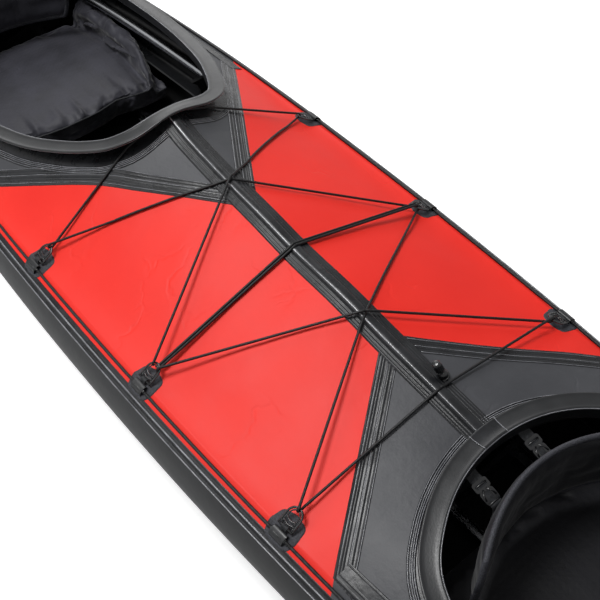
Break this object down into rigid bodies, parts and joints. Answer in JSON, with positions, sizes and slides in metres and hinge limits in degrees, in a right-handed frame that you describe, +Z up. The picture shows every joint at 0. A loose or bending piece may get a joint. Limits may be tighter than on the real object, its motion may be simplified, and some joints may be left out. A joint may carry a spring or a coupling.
{
  "type": "folding kayak",
  "caption": "Folding kayak with two cockpits, coated cloth skin over a tube and plate frame, sponsons, padded seats, swinging deck rings, bungees and a perimeter line",
  "frame": {"origin": "on the ground under the middle of the hull", "axes": "X to the bow, Y to port, Z up"},
  "size_m": [5.1, 0.8256, 0.4801],
  "materials": {
    "hull_skin": "satin coated cloth",
    "red_deck": "satin coated cloth",
    "grey_deck": "satin coated cloth",
    "seam_tape": "ribbed satin",
    "coaming_rim": "smooth satin",
    "sponson_film": "smooth film",
    "frame_alloy": "anodised",
    "frame_plate": "matte",
    "cushion_cloth": "woven",
    "webbing": "woven",
    "moulded_plastic": "moulded satin",
    "cord": "braided"
  },
  "bodies": {
    "boat": {"hull_skin": "hull_skin", "deck_rear_cockpit": "grey_deck", "deck_front_cockpit": "grey_deck", "deck_middle_port": "red_deck", "deck_middle_starboard": "red_deck", "deck_bow": "red_deck", "deck_stern": "red_deck", "ridge_strip": "seam_tape", "panel_seam_rear": "seam_tape", "panel_seam_front": "seam_tape", "gunwale_seam_port": "seam_tape", "gunwale_seam_starboard": "seam_tape", "keel_strip": "seam_tape", "coaming_rear": "coaming_rim", "coaming_front": "coaming_rim", "sponson_port": "sponson_film", "sponson_starboard": "sponson_film", "keel_tube": "frame_alloy", "chine_tube_port": "frame_alloy", "gunwale_tube_port": "frame_alloy", "chine_tube_starboard": "frame_alloy", "gunwale_tube_starboard": "frame_alloy", "ridge_tube_middle": "frame_alloy", "ridge_tube_bow": "frame_alloy", "ridge_tube_stern": "frame_alloy", "frame_stern": "frame_plate", "frame_behind_rear_seat": "frame_plate", "frame_rear_legs": "frame_plate", "frame_rear_coaming": "frame_plate", "frame_middle": "frame_plate", "frame_front_legs": "frame_plate", "frame_front_coaming": "frame_plate", "frame_bow": "frame_plate", "stem_bow": "frame_plate", "stem_stern": "frame_plate", "seat_cushion_rear": "cushion_cloth", "backrest_strap_rear_port": "webbing", "backrest_strap_rear_starboard": "webbing", "seat_cushion_front": "cushion_cloth", "backrest_strap_front_port": "webbing", "backrest_strap_front_starboard": "webbing", "fitting_rear_port": "webbing", "fitting_rear_starboard": "webbing", "fitting_middle_port": "webbing", "fitting_middle_starboard": "webbing", "fitting_front_port": "webbing", "fitting_front_starboard": "webbing", "perimeter_line": "cord", "bungee_rear": "cord", "bungee_front": "cord", "valve_stem": "moulded_plastic"},
    "ring_rear_port": {"ring_rear_port": "moulded_plastic"},
    "ring_rear_starboard": {"ring_rear_starboard": "moulded_plastic"},
    "ring_middle_port": {"ring_middle_port": "moulded_plastic"},
    "ring_middle_starboard": {"ring_middle_starboard": "moulded_plastic"},
    "ring_front_port": {"ring_front_port": "moulded_plastic"},
    "ring_front_starboard": {"ring_front_starboard": "moulded_plastic"},
    "backrest_rear": {"backrest_rear": "cushion_cloth"},
    "backrest_front": {"backrest_front": "cushion_cloth"},
    "valve_cap": {"valve_cap": "moulded_plastic"}
  },
  "joints": [
    {"name": "ring_rear_port_swing", "type": "hinge", "parent": "boat", "child": "ring_rear_port", "pos_m": [-0.289, 0.35474, 0.25778], "axis": [-1, -0.003, 0], "range_deg": [0, 80], "deforming": ["bungee_rear"]},
    {"name": "ring_rear_starboard_swing", "type": "hinge", "parent": "boat", "child": "ring_rear_starboard", "pos_m": [-0.289, -0.35474, 0.2576], "axis": [1, -0.003, 0], "range_deg": [0, 80]},
    {"name": "ring_middle_port_swing", "type": "hinge", "parent": "boat", "child": "ring_middle_port", "pos_m": [0.10004, 0.3507, 0.25747], "axis": [-0.9997, 0.0252, 0], "range_deg": [0, 80]},
    {"name": "ring_middle_starboard_swing", "type": "hinge", "parent": "boat", "child": "ring_middle_starboard", "pos_m": [0.10004, -0.3507, 0.2574], "axis": [0.9997, 0.0252, 0], "range_deg": [0, 80]},
    {"name": "ring_front_port_swing", "type": "hinge", "parent": "boat", "child": "ring_front_port", "pos_m": [0.48599, 0.33454, 0.25797], "axis": [-0.9983, 0.0591, 0], "range_deg": [0, 80], "deforming": ["bungee_front"]},
    {"name": "ring_front_starboard_swing", "type": "hinge", "parent": "boat", "child": "ring_front_starboard", "pos_m": [0.48599, -0.33454, 0.25834], "axis": [0.9983, 0.0591, 0], "range_deg": [0, 80]},
    {"name": "backrest_rear_tilt", "type": "hinge", "parent": "boat", "child": "backrest_rear", "pos_m": [-1.1052, 0, 0.1893], "axis": [0, 1, 0], "range_deg": [0, 60], "deforming": ["backrest_strap_rear_port", "backrest_strap_rear_starboard"]},
    {"name": "backrest_front_tilt", "type": "hinge", "parent": "boat", "child": "backrest_front", "pos_m": [0.77619, 0, 0.1893], "axis": [0, 1, 0], "range_deg": [0, 60], "deforming": ["backrest_strap_front_port", "backrest_strap_front_starboard"]},
    {"name": "valve_cap_turn", "type": "hinge", "parent": "boat", "child": "valve_cap", "pos_m": [0.46052, 0.0106, 0.36728], "axis": [-0.1934, -0.3675, 0.9097], "range_deg": [0, 360]}
  ]
}
